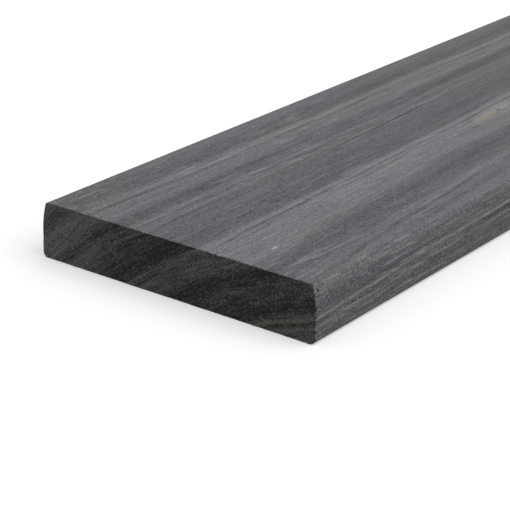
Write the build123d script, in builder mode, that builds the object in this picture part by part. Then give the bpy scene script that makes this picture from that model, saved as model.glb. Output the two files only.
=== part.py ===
from build123d import *

import math
import os

# Planed softwood cladding board: one piece of timber, planed on four sides, with eased long edges
# and ends sawn square.
# Frame: +X along the grain, +Y across the board, +Z out of the show face.
# The origin is the middle of the back face, which is the face that lies against the battens.

# Driving dimensions, in millimetres
board_length = 1800.0  # a stock length
board_width = 140.0  # across the widest part of the edges
board_thickness = 25.0  # back face to show face

ease_height = 12.5  # depth below the show face at which the long edges start to lean in
ease_inset = 2.0  # how far each long edge has leaned in where it reaches the show face
face_arris_radius = 1.0  # rounding of the two long corners of the show face
back_arris_radius = 2.5  # rounding of the two long corners of the back face

# Worked out from the sizes above
half_width = board_width / 2
edge_flat_height = board_thickness - ease_height
ease_radius = (ease_height**2 + ease_inset**2) / (2 * ease_inset)  # tangent to the flat of the edge
ease_angle = math.degrees(math.asin(ease_height / ease_radius))

# The board is its cross-section run along the grain
with BuildPart() as cladding_board:
    with BuildSketch(Plane.YZ) as cross_section:
        with BuildLine():
            back = Line((-half_width, 0), (half_width, 0))
            edge_flat = Line(back @ 1, (half_width, edge_flat_height))
            edge_ease = CenterArc((half_width - ease_radius, edge_flat_height), ease_radius, 0, ease_angle)
            far_edge = mirror([edge_flat, edge_ease], about=Plane.YZ)
            show_face = Line(edge_ease @ 1, far_edge.vertices().sort_by(Axis.Y)[-1])
        make_face()
        fillet(cross_section.vertices().group_by(Axis.Y)[-1], radius=face_arris_radius)
        fillet(cross_section.vertices().group_by(Axis.Y)[0], radius=back_arris_radius)
    extrude(amount=board_length / 2, both=True)

cladding_board.part.label = "cladding_board"

os.makedirs("parts", exist_ok=True)
export_step(cladding_board.part, "parts/cladding_board.step")

size = cladding_board.part.bounding_box().size
volume_litres = cladding_board.part.volume / 1e6
print(f"cladding board {size.X:.2f} x {size.Y:.2f} x {size.Z:.2f} mm, {volume_litres:.3f} litres")
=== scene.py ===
import math
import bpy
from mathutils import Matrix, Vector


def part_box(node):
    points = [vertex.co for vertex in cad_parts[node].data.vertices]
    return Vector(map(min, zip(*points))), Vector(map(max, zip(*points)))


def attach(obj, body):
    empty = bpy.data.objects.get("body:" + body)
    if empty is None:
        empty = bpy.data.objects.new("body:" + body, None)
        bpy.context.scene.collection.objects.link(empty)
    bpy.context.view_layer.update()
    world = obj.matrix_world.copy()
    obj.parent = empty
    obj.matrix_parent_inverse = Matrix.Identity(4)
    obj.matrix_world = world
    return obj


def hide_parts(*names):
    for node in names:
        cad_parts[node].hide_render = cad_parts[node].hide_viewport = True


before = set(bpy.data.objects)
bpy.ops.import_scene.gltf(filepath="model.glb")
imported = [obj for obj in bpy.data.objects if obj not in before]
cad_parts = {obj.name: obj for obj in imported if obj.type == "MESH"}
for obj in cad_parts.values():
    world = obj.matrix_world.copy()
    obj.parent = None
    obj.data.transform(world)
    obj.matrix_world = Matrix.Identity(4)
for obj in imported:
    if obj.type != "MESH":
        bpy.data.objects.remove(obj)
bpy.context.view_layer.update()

from types import SimpleNamespace

import bpy
from mathutils import Matrix, Vector

boardNode = "cladding_board"
boardLow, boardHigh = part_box(boardNode)
boardSize = boardHigh - boardLow
print("frame loaded, board", [round(side, 4) for side in boardSize])


class Wire:  # one socket of a node tree; maths written on it adds the Math nodes
    def __init__(self, tree, socket):
        self.tree = tree
        self.socket = socket

    def node(self, kind, settings=None, sockets=None, output=0):  # any other node, and one of its outputs
        made = self.tree.nodes.new(kind)
        for name, value in (settings or {}).items():
            if name == "stops":
                setStops(made.color_ramp, *value)
            else:
                setattr(made, name, value)
        for name, value in (sockets or {}).items():
            feed(self.tree, made.inputs[name], value)
        return Wire(self.tree, made.outputs[output])

    def maths(self, operation, *others):  # this value comes first
        return self.node("ShaderNodeMath", {"operation": operation}, dict(enumerate((self, *others))))

    def mathsAfter(self, operation, other):  # the other value comes first
        return self.node("ShaderNodeMath", {"operation": operation}, {0: other, 1: self})

    def __add__(self, other):
        return self.maths("ADD", other)

    def __radd__(self, other):
        return self.mathsAfter("ADD", other)

    def __sub__(self, other):
        return self.maths("SUBTRACT", other)

    def __rsub__(self, other):
        return self.mathsAfter("SUBTRACT", other)

    def __mul__(self, other):
        return self.maths("MULTIPLY", other)

    def __rmul__(self, other):
        return self.mathsAfter("MULTIPLY", other)

    def __truediv__(self, other):
        return self.maths("DIVIDE", other)

    def __rtruediv__(self, other):
        return self.mathsAfter("DIVIDE", other)

    def __pow__(self, other):
        return self.maths("POWER", other)

    def __gt__(self, other):
        return self.maths("GREATER_THAN", other)

    def __lt__(self, other):
        return self.maths("LESS_THAN", other)

    def __abs__(self):
        return self.maths("ABSOLUTE")

    def ramp(self, low, high):  # 0 below low, 1 above high, eased between
        settings = {"interpolation_type": "SMOOTHSTEP"}
        return self.node("ShaderNodeMapRange", settings, {0: self, 1: low, 2: high})

    def share(self, low, high):  # the same, in a straight line
        return self.node("ShaderNodeMapRange", {}, {0: self, 1: low, 2: high})

    def peak(self, middle, half):  # 1 at the middle, 0 this far from it
        return 1 - abs(self - middle).ramp(0.0, half)

    def parts(self):  # X, Y and Z of a vector
        made = self.tree.nodes.new("ShaderNodeSeparateXYZ")
        feed(self.tree, made.inputs[0], self)
        return [Wire(self.tree, output) for output in made.outputs]

    def vector(self, x, y, z):
        return self.node("ShaderNodeCombineXYZ", {}, {0: x, 1: y, 2: z})

    def vectorMaths(self, operation, other):
        return self.node("ShaderNodeVectorMath", {"operation": operation}, {0: self, 1: other})

    def length(self):
        return self.node("ShaderNodeVectorMath", {"operation": "LENGTH"}, {0: self}, "Value")

    def noise(self, sizes, detail=2.0, roughness=0.5, seed=0.0):  # blobs of these sizes along X, Y and Z
        stretched = self.vectorMaths("MULTIPLY", tuple(1 / size for size in sizes))
        sockets = {"Vector": stretched, "W": seed, "Scale": 1.0, "Detail": detail, "Roughness": roughness}
        return self.node("ShaderNodeTexNoise", {"noise_dimensions": "4D"}, sockets)

    def colour(self, low, high, blend="MIX", clamp=True):  # from one colour to the other by this value
        settings = {"data_type": "RGBA", "blend_type": blend, "clamp_factor": clamp}
        sockets = {0: self, 6: low, 7: high}  # 6 and 7 are its colours, and output 2 is the mixed one
        return self.node("ShaderNodeMix", settings, sockets, 2)


def feed(tree, socket, value):  # a link, or a plain value
    if isinstance(value, Wire):
        tree.links.new(value.socket, socket)
    else:
        socket.default_value = value


def setStops(colourRamp, between, stops):
    colourRamp.interpolation = between
    while len(colourRamp.elements) < len(stops):
        colourRamp.elements.new(1.0)
    for element, (position, grey) in zip(colourRamp.elements, stops):
        element.position = position
        element.color = (grey, grey, grey, 1.0)


def linear(red, green, blue):  # a colour as seen on a screen, 0 to 255, to what a shader takes
    def channel(value):  # the sRGB curve
        share = value / 255
        return share / 12.92 if share <= 0.04045 else ((share + 0.055) / 1.055) ** 2.4

    return (channel(red), channel(green), channel(blue), 1.0)


# Growth rings: one rule for the whole board, so that the end grain and the streaks on the long faces agree
growth = {
    "pith": (-0.1586, -0.2472),  # Y and Z of the middle of the tree, where it passes the board's ends
    "bow": (-0.0267, 0.0254),  # how far the tree's middle has swept aside by half length
    "waver": 0.0021,  # rings wander in and out by this much
    "waverSize": (0.10, 0.05, 0.05),
    "waverSeed": 1331.2,
    "fray": 0.0003,  # and their edges are frayed by this much
    "fraySize": (0.016, 0.0022, 0.0022),
    "fraySeed": 2.9,
    "innermost": 0.250,
    # outer radius; share of its width by which a ring is nearly pale; tone of its dark start and of its
    # pale edge, on the long faces and then on the sawn ends; how strong its cream line and its creases
    # are, and how broad
    "columns": ("outer", "risen", "faceDark", "facePale", "endDark", "endPale", "line", "crease", "breadth"),
    "rings": [
        (0.2706, 0.50, 0.30, 0.85, 0.35, 0.82, 0.5, 0.30, 1.00),
        (0.2748, 0.50, 0.30, 0.85, 0.25, 0.80, 1.0, 0.40, 1.25),
        (0.2895, 0.80, 0.35, 0.62, 0.10, 0.55, 0.3, 0.70, 0.90),
        (0.3078, 0.50, 0.04, 1.10, 0.08, 0.75, 0.7, 1.15, 0.65),
        (0.3236, 0.72, 0.00, 0.45, 0.00, 0.50, 0.6, 0.50, 0.80),
        (0.3266, 0.50, 0.40, 0.50, 0.46, 0.60, 0.3, 0.30, 0.70),
        (0.3410, 0.52, 0.00, 0.92, 0.10, 0.78, 0.6, 0.75, 1.20),
        (0.3600, 0.50, 0.06, 0.52, 0.22, 0.62, 0.4, 0.40, 1.00),
    ],
    "darkest": 0.28,  # share of a ring's width at which it is darkest
    "nearlyPale": 0.85,  # share of the way from dark to pale
    "carriedOver": 0.2,  # share of a ring's pale tone that stays in the start of the next
    "faceDrop": 0.0011,  # over which the pale edge drops towards the next ring's dark start
    "endDrop": 0.0018,  # the same on the sawn ends
    "lineDepth": 0.0008,  # of the cream line, in from the ring's outer edge
    "lineHalf": 0.0010,  # half its width
    "creaseDepths": (0.0021, 0.0046),  # of the two dark creases
    "creaseHalf": 0.0010,
    "secondCrease": 0.5,  # its strength beside that of the first
    "deepest": 0.030,  # no ring is deeper than this
    "step": 0.00001,  # between one ring's depth and the next one's
}


def readRings():  # a dictionary for each ring, with its inner radius
    found = []
    inner = growth["innermost"]
    for row in growth["rings"]:
        ring = dict(zip(growth["columns"], row), inner=inner)
        found.append(ring)
        inner = ring["outer"]
    return found


rings = readRings()


def ringTones(radius, side):  # the tone at this radius on a side, "face" or "end"
    stops = []
    before = rings[0][side + "Pale"]
    for ring in rings:
        width = ring["outer"] - ring["inner"]
        dark = ring[side + "Dark"]
        pale = ring[side + "Pale"]
        stops.append((ring["inner"] + growth[side + "Drop"], dark + before * growth["carriedOver"]))
        stops.append((ring["inner"] + width * growth["darkest"], dark))
        stops.append((ring["inner"] + width * ring["risen"], dark + (pale - dark) * growth["nearlyPale"]))
        stops.append((ring["outer"], pale))
        before = pale
    return ringRamp(radius, stops)


def ringDepth(radius):  # how far inside its ring's outer edge this radius is, less where lines are broad
    stops = []
    for ring in rings:
        depth = (ring["outer"] - ring["inner"]) / ring["breadth"]
        stops.append((ring["inner"] + growth["step"], depth / growth["deepest"]))
        stops.append((ring["outer"], 0.0))
    return ringRamp(radius, stops) * growth["deepest"]


def ringStrength(radius, column):  # what this column says of the ring at this radius
    return ringRamp(radius, [(ring["inner"], ring[column]) for ring in rings], "CONSTANT")


def ringRamp(radius, stops, between="LINEAR"):
    inner = rings[0]["inner"]
    outer = rings[-1]["outer"]
    shares = [((place - inner) / (outer - inner), grey) for place, grey in stops]
    ramp = radius.node("ShaderNodeValToRGB", {"stops": (between, shares)}, {0: radius.share(inner, outer)})
    return ramp * 1.0  # a number, not a colour


def fromPith(place):  # across and up from the middle of the tree
    x, y, z = place.parts()
    bow = ((x - boardLow.x) * (math.pi / boardSize.x)).maths("SINE")
    across = y - growth["pith"][0] - bow * growth["bow"][0]
    up = z - growth["pith"][1] - bow * growth["bow"][1]
    return across, up


def ringRadius(place, across, up):
    waver = place.noise(growth["waverSize"], seed=growth["waverSeed"]) - 0.5
    fray = place.noise(growth["fraySize"], seed=growth["fraySeed"]) - 0.5
    evenRadius = (across * across + up * up) ** 0.5
    return evenRadius + waver * (2 * growth["waver"]) + fray * (2 * growth["fray"])


# The board: a fine box of faces, laid on the section and run along the length
board = {
    "inputs": {  # of the node tree, beside the length, width and thickness that the frame gives
        "Rows Along": 260,  # crowded towards both ends
        "Rows Across": 140,
        "Rows Up": 26,
        "Crowding": 1.6,  # 1 spaces the rows evenly
        "Ease Height": 0.0125,  # of the long edges, down from the show face
        "Ease Inset": 0.0020,
        "Face Arris": 0.0010,
        "Back Arris": 0.0025,
        "Raised Grain": 0.00012,
        "Saw Marks": 0.0003,
        "Torn Arris": 0.0004,  # depth of the nicks round the sawn ends
    },
    "edgeRows": (0.0, 0.2, 0.4, 0.72, 1.0),  # shares of the rows up: back arris, flat, ease, face arris
    "rim": 0.4999,  # the blank's outermost points lie beyond this
    "ringRelief": 0.6,  # share of the raised grain that follows the rings; ripples make up the rest
    "rippleSize": (0.08, 0.004, 0.004),
    "rippleSeed": 3.1,
    "sawSize": (0.002, 0.002, 0.002),
    "sawSeed": 5.3,
    "nickSize": (0.0018, 0.0018, 0.0018),
    "nickSeed": 6.1,
    "nickSpots": (0.40, 0.70),  # of the noise, where nicks start and are whole
    "nickFade": (-0.05, 0.03),  # across the board, from here to here the nicks die down
    "nickLess": 0.85,  # by this much
    "sharpBend": 0.9,  # edges bent by more than this stay sharp, in radians
    "bakeMap": {  # strips as start and size: U along the long sides and on the two ends, then V of each side
        "along": (0.01, 0.98),
        "nearEnd": (0.02, 0.46),
        "farEnd": (0.52, 0.46),
        "show": (0.02, 0.40),
        "back": (0.44, 0.18),
        "left": (0.64, 0.10),
        "right": (0.76, 0.10),
        "ends": (0.88, 0.10),
    },
}


def keep(geometry, name, value, domain, kind="FLOAT"):  # store an attribute
    settings = {"data_type": kind, "domain": domain}
    sockets = {"Geometry": geometry, "Name": name, "Value": value}
    return geometry.node("GeometryNodeStoreNamedAttribute", settings, sockets)


def kept(geometry, name, kind="FLOAT"):  # read it again
    return geometry.node("GeometryNodeInputNamedAttribute", {"data_type": kind}, {"Name": name})


def cosine(angle):
    return angle.maths("COSINE") if isinstance(angle, Wire) else math.cos(angle)


def sine(angle):
    return angle.maths("SINE") if isinstance(angle, Wire) else math.sin(angle)


def arc(radius, fromAngle, toAngle, share):  # how far out and up an arc has gone by this share of it
    angle = fromAngle + (toAngle - fromAngle) * share
    outward = radius * (cosine(angle) - cosine(fromAngle))
    upward = radius * (sine(angle) - sine(fromAngle))
    return outward, upward


def edgeAt(size, upShare):  # half the board's width, and the height, at this share of the rows up
    starts = board["edgeRows"][:-1]
    ends = board["edgeRows"][1:]
    backShare, flatShare, easeShare, faceShare = [upShare.share(*rows) for rows in zip(starts, ends)]
    backArris = size["Back Arris"]
    faceArris = size["Face Arris"]
    easeHeight = size["Ease Height"]
    easeInset = size["Ease Inset"]
    easeRadius = (easeHeight * easeHeight + easeInset * easeInset) / (2 * easeInset)
    easeAngle = ((easeHeight - faceArris) / (easeRadius - faceArris)).maths("ARCSINE")
    quarter = math.pi / 2
    backOut, backUp = arc(backArris, -quarter, 0.0, backShare)
    flatUp = (size["Thickness"] - easeHeight - backArris) * flatShare
    easeOut, easeUp = arc(easeRadius, 0.0, easeAngle, easeShare)
    faceOut, faceUp = arc(faceArris, easeAngle, quarter, faceShare)
    halfWidth = size["Width"] * 0.5 - backArris + backOut + easeOut + faceOut
    return halfWidth, backUp + flatUp + easeUp + faceUp


def strip(name, share):  # a place on the bake map, by the share of the way along its strip
    start, width = board["bakeMap"][name]
    return share * width + start


def layBoard(blank, size):  # the section run along the length, with what each face is kept as attributes
    place = blank.node("GeometryNodeInputPosition")
    a, b, c = place.parts()  # of the blank, from -0.5 to 0.5
    inward = (1 - 2 * abs(a)).maths("MAXIMUM", 0.0)
    along = a.maths("SIGN") * (1 - inward ** size["Crowding"]) * 0.5
    acrossShare = b + 0.5
    upShare = c + 0.5
    halfWidth, height = edgeAt(size, upShare)

    marked = keep(blank, "facing", blank.node("GeometryNodeInputNormal"), "FACE", "FLOAT_VECTOR")
    faceX, faceY, faceZ = kept(blank, "facing", "FLOAT_VECTOR").parts()
    sawn = abs(faceX) > 0.5
    marked = keep(marked, "sawnEnd", sawn, "FACE")
    atEnd = abs(a) > board["rim"]
    atRim = abs(b).maths("MAXIMUM", abs(c)) > board["rim"]
    marked = keep(marked, "arris", atEnd * atRim, "POINT")

    mapU = (1 - sawn) * strip("along", along + 0.5)
    mapU = mapU + (faceX < -0.5) * strip("nearEnd", acrossShare)
    mapU = mapU + (faceX > 0.5) * strip("farEnd", acrossShare)
    mapV = sawn * strip("ends", height / size["Thickness"])
    mapV = mapV + (faceZ > 0.5) * strip("show", acrossShare) + (faceZ < -0.5) * strip("back", acrossShare)
    mapV = mapV + (faceY > 0.5) * strip("left", upShare) + (faceY < -0.5) * strip("right", upShare)
    marked = keep(marked, "OFBake", place.vector(mapU, mapV, 0.0), "CORNER", "FLOAT2")
    shaped = place.vector(along * size["Length"], 2 * b * halfWidth, height)
    return blank.node("GeometryNodeSetPosition", {}, {"Geometry": marked, "Position": shaped})


def carve(laid, size):  # raised grain, saw marks and nicks, which only cut inwards
    spot = laid.node("GeometryNodeInputPosition")
    pale = ringTones(ringRadius(spot, *fromPith(spot)), "face")
    ripple = spot.noise(board["rippleSize"], seed=board["rippleSeed"])
    hollow = 1 - pale * board["ringRelief"] - ripple * (1 - board["ringRelief"])
    rough = spot.noise(board["sawSize"], seed=board["sawSeed"])
    nicks = spot.noise(board["nickSize"], detail=1.0, seed=board["nickSeed"]).ramp(*board["nickSpots"])
    calm = spot.parts()[1].ramp(*board["nickFade"]) * board["nickLess"]
    nicks = nicks * kept(laid, "arris") * (1 - calm)
    cut = size["Raised Grain"] * hollow + kept(laid, "sawnEnd") * rough * size["Saw Marks"]
    cut = cut + nicks * size["Torn Arris"]
    normal = laid.node("GeometryNodeInputNormal")
    inward = normal.node("ShaderNodeVectorMath", {"operation": "SCALE"}, {0: normal, "Scale": cut * -1})
    return laid.node("GeometryNodeSetPosition", {}, {"Geometry": laid, "Offset": inward})


def shade(carved):  # smooth, with sharp edges round the sawn ends
    sockets = {"Geometry": carved, "Shade Smooth": True}
    smooth = carved.node("GeometryNodeSetShadeSmooth", {"domain": "FACE"}, sockets)
    sharp = carved.node("GeometryNodeInputMeshEdgeAngle") > board["sharpBend"]
    sockets = {"Geometry": smooth, "Selection": sharp, "Shade Smooth": False}
    return carved.node("GeometryNodeSetShadeSmooth", {"domain": "EDGE"}, sockets)


def boardTree():
    tree = bpy.data.node_groups.new("boardShape", "GeometryNodeTree")
    tree.is_modifier = True
    tree.interface.new_socket("Geometry", in_out="OUTPUT", socket_type="NodeSocketGeometry")
    for name in ("Length", "Width", "Thickness"):
        tree.interface.new_socket(name, in_out="INPUT", socket_type="NodeSocketFloat")
    for name, value in board["inputs"].items():
        kind = "NodeSocketInt" if isinstance(value, int) else "NodeSocketFloat"
        tree.interface.new_socket(name, in_out="INPUT", socket_type=kind)
    tree.interface.new_socket("Timber", in_out="INPUT", socket_type="NodeSocketMaterial")
    entry = tree.nodes.new("NodeGroupInput")
    size = {output.name: Wire(tree, output) for output in entry.outputs if output.name}

    sockets = {"Size": (1.0, 1.0, 1.0)}
    for axis, rows in (("X", "Rows Along"), ("Y", "Rows Across"), ("Z", "Rows Up")):
        sockets["Vertices " + axis] = size[rows]
    blank = size["Length"].node("GeometryNodeMeshCube", {}, sockets)
    shaded = shade(carve(layBoard(blank, size), size))
    whole = shaded.node("GeometryNodeRealizeInstances", {}, {"Geometry": shaded})
    clad = whole.node("GeometryNodeSetMaterial", {}, {"Geometry": whole, "Material": size["Timber"]})
    leave = tree.nodes.new("NodeGroupOutput")
    feed(tree, leave.inputs["Geometry"], clad)
    return tree


def makeBoard(material):
    tree = boardTree()
    holder = bpy.data.objects.new("boardBlank", bpy.data.meshes.new("boardBlank"))
    bpy.context.scene.collection.objects.link(holder)
    modifier = holder.modifiers.new("boardShape", "NODES")
    modifier.node_group = tree
    values = {"Length": boardSize.x, "Width": boardSize.y, "Thickness": boardSize.z, "Timber": material}
    values.update(board["inputs"])
    for item in tree.interface.items_tree:
        if item.in_out == "INPUT":
            modifier[item.identifier] = values[item.name]
    evaluated = holder.evaluated_get(bpy.context.evaluated_depsgraph_get())
    mesh = bpy.data.meshes.new_from_object(evaluated)
    bpy.data.objects.remove(holder)
    for name in ("facing", "arris"):  # only the tree needs these
        mesh.attributes.remove(mesh.attributes[name])
    piece = bpy.data.objects.new("grainedBoard", mesh)
    mesh.name = "grainedBoard"
    bpy.context.scene.collection.objects.link(piece)
    print("board made:", len(mesh.vertices), "vertices,", len(mesh.polygons), "faces")
    return piece


# Timber: softwood dyed grey all through, with pale latewood lines
timber = {
    "dark": linear(86.7, 88, 92.9),
    "pale": linear(117.4, 119, 123.7),
    "cream": linear(154, 153, 149),
    "beige": linear(148, 138, 118),
    "chalk": linear(176, 173, 169),
    "torn": linear(42, 42, 41),
    # painted shade: near-black spots that stand for the shade inside small pits, which are not cut into the
    # shape
    "pitShade": linear(22, 22, 22),
    "endDark": linear(28, 28, 28),
    "endPale": linear(94, 93.5, 90.8),
    "endCream": linear(122, 117, 103),
    "warm": (1.045, 1.0, 0.90, 1.0),  # tint of the warmer streaks
    "roughness": 0.74,
    "sheen": 0.10,  # latewood is this much smoother
    "specular": 0.2,
    # sizes along X, Y and Z, detail, roughness and seed; then, where it makes spots, where they start and
    # are whole. For layers of growth the sizes are along the grain, round the tree and through the rings.
    "noises": {
        "sway": ((0.12, 0.03, 0.03), 2.0, 0.5, 5.9),
        "broad": ((0.35, 0.25, 0.006), 2.0, 0.5, 8.8),
        "streaks": ((0.10, 0.10, 0.0018), 2.0, 0.6, 2.2),
        "fibres": ((0.050, 0.0017, 0.0017), 2.0, 0.7, 4.4),
        "threads": ((0.045, 0.05, 0.0009), 1.0, 0.6, 6.2),
        "silver": ((0.020, 0.0009, 0.0009), 1.0, 0.5, 9.9, 0.55, 0.66),
        "pores": ((0.014, 0.0008, 0.0008), 1.0, 0.5, 6.6, 0.57, 0.67),
        "patches": ((0.09, 0.014, 0.014), 1.0, 0.5, 7.1, 0.35, 0.65),
        "gaps": ((0.030, 0.008, 0.008), 1.0, 0.5, 2.6, 0.34, 0.60),
        "specks": ((0.0009, 0.0007, 0.0007), 1.0, 0.7, 3.6),
        "grit": ((0.0006, 0.00045, 0.00045), 0.0, 0.5, 9.2),
        "warmth": ((0.10, 0.10, 0.0030), 2.0, 0.5, 3.3, 0.48, 0.66),
        "broken": ((0.006, 0.0012, 0.0012), 2.0, 0.7, 1.1, 0.42, 0.60),
        "teeth": ((0.006, 0.0009, 0.0009), 2.0, 0.5, 4.7, 0.44, 0.62),
        "frayed": ((0.012, 0.0010, 0.0010), 2.0, 0.7, 7.7),
        "rays": ((1.0, 0.0025, 0.0050), 1.0, 0.5, 5.2),
        "laminae": ((1.0, 0.030, 0.0011), 2.0, 0.6, 1.3),
        "scratches": ((0.2, 0.030, 0.0009), 2.0, 0.7, 8.1),
    },
    "swayBy": (0.006, 0.003),  # strands wander across and up by this much
    "edgeStart": (0.0030, 0.0016),  # in from the board's sides, where face turns to edge
    "weights": {  # what each counts in the tone, on the wide faces and on the long edges
        "plain": (0.05, 0.11),
        "rings": (0.80, 0.30),
        "broad": (0.50, 0.50),
        "streaks": (0.70, 1.50),
        "fibres": (1.00, 0.50),
        "threads": (0.00, 1.30),
        "flecks": (2.40, 3.10),
        "fleckSkew": (2.40, 4.00),  # how much the pale flecks stand out more than the dark ones
        "grit": (1.60, 2.60),
        "pores": (-0.30, 0.00),
        "silver": (0.25, 0.70),
        "warmth": (0.00, 0.32),
        "cream": (0.15, 0.89),
        "torn": (1.00, 0.55),
    },
    "silverPatches": 0.60,  # patches have this much more silver
    "creamPatches": 0.30,  # and this much more cream in the lines
    "creamGaps": 0.7,  # share of a cream line that its gaps take away
    "creaseLeast": 0.20,  # strength of the creases in their gaps
    "creaseMore": 0.70,  # and how much more elsewhere
    "dustAtEnds": 1.12,  # strength of the fine texture at the sawn ends
    "dustLoss": 0.62,  # how much weaker it gets
    "dustReach": 0.36,  # by this far in
    "rubbed": (0.0175, 0.0240),  # from here up to here the long edges get paler towards the show face
    "rub": 0.55,
    "warmStreaks": 0.5,  # how warm the warmer streaks are, and the cream lines
    "warmLines": 0.15,
    "warmZones": [  # from the near end, half length, across, half width, how strong
        (0.42, 0.32, 0.0, 1.0, 0.80),
        (1.30, 0.40, 0.0, 1.0, 0.50),
        (0.00, 0.09, 0.070, 0.060, 0.65),
    ],
    "tornReach": 0.0014,  # how far the sawn ends' torn fibres reach along the board
    "tornFade": (-0.050, 0.030),  # across the board, from here to here they get shorter
    "tornLess": 0.6,  # by this much
    "tornEdge": (-0.0005, 0.0004),  # softness of their outline
    "marks": [  # colour, from the near end, across, up, half length, half width, how strong, how broken
        ("cream", 0.2350, -0.0147, 0.0250, 0.0320, 0.0036, 0.70, 0.4),
        ("beige", 0.2180, -0.0166, 0.0250, 0.0200, 0.0042, 0.45, 0.4),
        ("chalk", 0.0206, -0.0353, 0.0250, 0.0024, 0.0010, 0.95, 0.0),
        # the pit marks are painted shade of small pits, not hollows
        ("pitShade", 0.2030, -0.0202, 0.0250, 0.0040, 0.0010, 0.50, 0.0),
        ("pitShade", 0.2325, -0.0157, 0.0250, 0.0036, 0.0011, 0.60, 0.0),
        ("pitShade", 0.0028, -0.0688, 0.0219, 0.0010, 0.0009, 1.00, 0.0),
        ("pitShade", 0.0004, -0.0699, 0.0150, 0.0009, 0.0011, 1.00, 0.0),
    ],
    "markFray": 100.0,  # for each metre of a mark's half length
    "markEdge": (0.3, 1.1),  # shares of its half size over which a mark fades
    "endWeights": {  # what each counts in the tone of the sawn ends
        "rings": 0.97,
        "broad": 0.5,
        "rays": 0.5,
        "laminae": 1.4,
        "scratches": 1.7,
        "specks": 2.0,
        "grit": 2.3,
        "crease": -0.15,
    },
    "endPlain": -0.10,
    "endLift": 0.55,  # how much paler the sawn ends get towards one side
    "endLiftFrom": (0.020, 0.058),  # across, where that starts and is whole
    "endLine": (0.2, 0.5),  # least strength of the cream lines there, and how much more where unbroken
    "bumpWeights": {"fibres": 0.6, "specks": 0.4, "streaks": 0.3, "pores": -0.3},
    "bumpStrength": 0.7,
    "bumpDepth": 0.0003,
}


def texture(place, name):  # a swing about 0, or spots from 0 to 1
    sizes, detail, roughness, seed, *spots = timber["noises"][name]
    noise = place.noise(sizes, detail, roughness, seed)
    return noise.ramp(*spots) if spots else noise - 0.5


def weight(grain, name):  # from its weight on the wide faces to that on the long edges
    face, edge = timber["weights"][name]
    return face + grain.onEdge * (edge - face)


def grainAt(place):  # what the colours of the faces and of the sawn ends share
    grain = SimpleNamespace(place=place)
    grain.x, grain.y, grain.z = place.parts()
    grain.fromStart = grain.x - boardLow.x
    grain.fromEnd = boardHigh.x - abs(grain.x)
    grain.onEdge = abs(grain.y).ramp(*[boardHigh.y - inset for inset in timber["edgeStart"]])

    across, up = fromPith(place)
    radius = ringRadius(place, across, up)
    grain.faceRings = ringTones(radius, "face")
    grain.endRings = ringTones(radius, "end")
    depth = ringDepth(radius)
    grain.line = depth.peak(growth["lineDepth"], growth["lineHalf"]) * ringStrength(radius, "line")
    first, second = [depth.peak(middle, growth["creaseHalf"]) for middle in growth["creaseDepths"]]
    grain.crease = (first + second * growth["secondCrease"]) * ringStrength(radius, "crease")

    # layers follow the rings, strands the length
    grain.layers = place.vector(grain.x, up.maths("ARCTAN2", across), radius)
    sway = texture(place, "sway")
    swayAcross, swayUp = timber["swayBy"]
    grain.strands = place.vector(grain.x, grain.y + sway * swayAcross, grain.z + sway * swayUp)
    grain.broad = texture(grain.layers, "broad")
    grain.streaks = texture(grain.layers, "streaks")
    grain.fibres = texture(grain.strands, "fibres")
    grain.pores = texture(grain.strands, "pores")
    grain.patches = texture(place, "patches")
    grain.specks = texture(place, "specks")
    grain.grit = texture(place, "grit")
    grain.broken = texture(place, "broken")
    return grain


def faceTone(grain):  # 0 is dark, 1 is pale
    shapes = {
        "rings": grain.faceRings,
        "broad": grain.broad,
        "streaks": grain.streaks,
        "fibres": grain.fibres,
        "threads": texture(grain.layers, "threads"),
    }
    silver = texture(grain.strands, "silver")
    dusts = {
        "flecks": grain.specks * (1 + grain.specks * weight(grain, "fleckSkew")),
        "grit": grain.grit,
        "pores": grain.pores,
        "silver": silver,
    }
    tone = weight(grain, "plain")
    for name, shape in shapes.items():
        tone = tone + shape * weight(grain, name)
    dust = silver * grain.patches * timber["silverPatches"]
    for name, shape in dusts.items():
        dust = dust + shape * weight(grain, name)
    nearEnds = timber["dustAtEnds"] - grain.fromEnd.ramp(0.0, timber["dustReach"]) * timber["dustLoss"]
    gaps = texture(grain.place, "gaps")
    tone = tone + dust * nearEnds - grain.crease * (timber["creaseLeast"] + gaps * timber["creaseMore"])
    # the long edges get paler towards the show face
    return tone + grain.onEdge * grain.z.ramp(*timber["rubbed"]) * timber["rub"]


def faceColour(grain):
    colour = faceTone(grain).colour(timber["dark"], timber["pale"], clamp=False)

    warmth = texture(grain.layers, "warmth") * timber["warmStreaks"] + grain.line * timber["warmLines"]
    warmth = warmth + weight(grain, "warmth")
    for middle, halfLength, across, halfWidth, strength in timber["warmZones"]:
        zone = grain.fromStart.peak(middle, halfLength) * grain.y.peak(across, halfWidth)
        warmth = warmth + zone * strength
    colour = warmth.colour(colour, timber["warm"], blend="MULTIPLY")

    cream = grain.line * (grain.patches * timber["creamPatches"] + weight(grain, "cream"))
    cream = cream * (grain.broken * timber["creamGaps"] + (1 - timber["creamGaps"]))
    colour = cream.colour(colour, timber["cream"])

    # torn fibres where the saw came through
    shorter = grain.y.ramp(*timber["tornFade"]) * timber["tornLess"]
    teeth = texture(grain.place, "teeth") * (weight(grain, "torn") - shorter) * timber["tornReach"]
    colour = (teeth - grain.fromEnd).ramp(*timber["tornEdge"]).colour(colour, timber["torn"])

    frayed = texture(grain.place, "frayed")
    for name, start, across, up, halfLength, halfWidth, strength, gappy in timber["marks"]:
        mark = markOn(grain.place, frayed, (boardLow.x + start, across, up), halfLength, halfWidth)
        colour = (mark * (1 - grain.broken * gappy) * strength).colour(colour, timber[name])
    return colour


def markOn(place, frayed, middle, halfLength, halfWidth):  # a frayed oval, longer along the grain
    shares = (1 / halfLength, 1 / halfWidth, 1 / halfWidth)
    away = place.vectorMaths("SUBTRACT", middle).vectorMaths("MULTIPLY", shares).length()
    return 1 - (away + frayed * (halfLength * timber["markFray"])).ramp(*timber["markEdge"])


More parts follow.
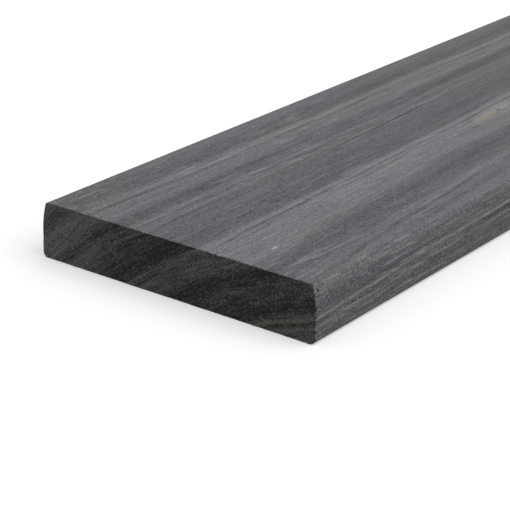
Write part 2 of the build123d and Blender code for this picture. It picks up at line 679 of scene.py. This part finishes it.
def endColour(grain):
    shapes = {
        "rings": grain.endRings,
        "broad": grain.broad,
        "rays": texture(grain.layers, "rays"),
        "laminae": texture(grain.layers, "laminae"),
        "scratches": texture(grain.layers, "scratches"),
        "specks": grain.specks,
        "grit": grain.grit,
        "crease": grain.crease,
    }
    tone = timber["endPlain"] + grain.y.ramp(*timber["endLiftFrom"]) * timber["endLift"]
    for name, shape in shapes.items():
        tone = tone + shape * timber["endWeights"][name]
    colour = tone.colour(timber["endDark"], timber["endPale"], clamp=False)
    least, more = timber["endLine"]
    return (grain.line * (grain.broken * more + least)).colour(colour, timber["endCream"])


def timberMaterial():
    material = bpy.data.materials.new("greyTimber")
    material.use_nodes = True
    tree = material.node_tree
    shader = tree.nodes["Principled BSDF"]
    place = Wire(tree, tree.nodes.new("ShaderNodeTexCoord").outputs["Object"])
    grain = grainAt(place)
    sawnEnd = place.node("ShaderNodeAttribute", {"attribute_name": "sawnEnd"}, {}, "Fac")
    feed(tree, shader.inputs["Base Color"], sawnEnd.colour(faceColour(grain), endColour(grain)))
    feed(tree, shader.inputs["Roughness"], timber["roughness"] - grain.faceRings * timber["sheen"])
    feed(tree, shader.inputs["Specular IOR Level"], timber["specular"])
    height = sum(getattr(grain, name) * share for name, share in timber["bumpWeights"].items())
    sockets = {"Strength": timber["bumpStrength"], "Distance": timber["bumpDepth"], "Height": height}
    feed(tree, shader.inputs["Normal"], place.node("ShaderNodeBump", {}, sockets))
    print("timber material made:", len(tree.nodes), "nodes")
    return material


# Studio: a pale floor, soft light from above, and the camera
studio = {
    "floorSide": 14.0,
    "floorDrop": 0.0001,  # below the board, so that the two don't touch
    "floorColour": (0.8, 0.8, 0.8, 1.0),
    "floorLift": (0.36, 0.36, 0.36, 1.0),  # glow that doesn't light the board
    "floorFar": (0.86, 0.86, 0.86, 1.0),  # the same far out
    "floorFade": (1.6, 5.0),  # from here to here out the floor fades to white
    "floorBounce": (0.12, 0.12, 0.12, 1.0),  # the floor's colour in the light that it throws on the board
    "skyColour": (1.0, 1.0, 1.0, 1.0),
    "skyLevel": 0.62,  # of its light on the board; it shows as white
    "softboxPlace": (-0.4, -1.5, 2.2),
    "softboxAim": (-0.7, 0.0, 0.0),
    "softboxSide": 2.2,
    "softboxPower": 27.0,
    "cameraPlace": (-1.42727, -0.42725, 0.30221),
    "cameraTurn": (67.396, -53.773, 1.242),  # tilt from straight down, heading, roll
    "cameraLens": 130.06,
    "cameraSensor": 36.0,
    "cameraNearest": 0.01,
}


def makeFloor():
    mesh = bpy.data.meshes.new("floor")
    half = studio["floorSide"] / 2
    level = boardLow.z - studio["floorDrop"]
    corners = [(-half, -half, level), (half, -half, level), (half, half, level), (-half, half, level)]
    mesh.from_pydata(corners, [], [(0, 1, 2, 3)])
    floor = bpy.data.objects.new("floor", mesh)
    bpy.context.scene.collection.objects.link(floor)
    mesh.materials.append(floorMaterial())


def floorMaterial():
    material = bpy.data.materials.new("paleFloor")
    material.use_nodes = True
    tree = material.node_tree
    tree.nodes.remove(tree.nodes["Principled BSDF"])
    seen = raysThatShow(tree)
    place = Wire(tree, tree.nodes.new("ShaderNodeTexCoord").outputs["Object"])
    glow = place.length().ramp(*studio["floorFade"]).colour(studio["floorLift"], studio["floorFar"])
    lift = seen.node("ShaderNodeEmission", {}, {"Color": glow, "Strength": 1.0})
    plain = seen.node("ShaderNodeBsdfDiffuse", {}, {"Color": studio["floorColour"]})
    shown = seen.node("ShaderNodeAddShader", {}, {0: plain, 1: lift})
    bounce = seen.node("ShaderNodeBsdfDiffuse", {}, {"Color": studio["floorBounce"]})
    both = seen.node("ShaderNodeMixShader", {}, {0: seen, 1: bounce, 2: shown})
    feed(tree, tree.nodes["Material Output"].inputs["Surface"], both)
    return material


def raysThatShow(tree):  # 1 for what the camera, a mirror or glass sees
    path = tree.nodes.new("ShaderNodeLightPath")
    camera = Wire(tree, path.outputs["Is Camera Ray"])
    glossy = Wire(tree, path.outputs["Is Glossy Ray"])
    through = Wire(tree, path.outputs["Is Transmission Ray"])
    return (camera + glossy + through).maths("MINIMUM", 1.0)


def makeSky():
    world = bpy.data.worlds.new("studio")
    bpy.context.scene.world = world
    world.use_nodes = True
    tree = world.node_tree
    level = studio["skyLevel"] + raysThatShow(tree) * (1 - studio["skyLevel"])
    background = tree.nodes["Background"]
    feed(tree, background.inputs["Color"], studio["skyColour"])
    feed(tree, background.inputs["Strength"], level)


def makeSoftbox():
    lamp = bpy.data.lights.new("softbox", "AREA")
    lamp.size = studio["softboxSide"]
    lamp.energy = studio["softboxPower"]
    holder = bpy.data.objects.new("softbox", lamp)
    place = Vector(studio["softboxPlace"])
    holder.location = place
    holder.rotation_euler = (Vector(studio["softboxAim"]) - place).to_track_quat("-Z", "Y").to_euler()
    bpy.context.scene.collection.objects.link(holder)


def makeCamera():
    data = bpy.data.cameras.new("camera")
    data.lens = studio["cameraLens"]
    data.sensor_width = studio["cameraSensor"]
    data.clip_start = studio["cameraNearest"]
    holder = bpy.data.objects.new("camera", data)
    tilt, heading, roll = [math.radians(angle) for angle in studio["cameraTurn"]]
    turn = Matrix.Rotation(heading, 4, "Z") @ Matrix.Rotation(tilt, 4, "X") @ Matrix.Rotation(roll, 4, "Z")
    holder.matrix_world = Matrix.Translation(studio["cameraPlace"]) @ turn
    bpy.context.scene.collection.objects.link(holder)
    bpy.context.scene.camera = holder


grainedBoard = makeBoard(timberMaterial())
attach(grainedBoard, "root")
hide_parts(boardNode)

makeFloor()
makeSky()
makeSoftbox()
makeCamera()
bpy.context.scene.view_settings.view_transform = "Standard"
print("studio set")
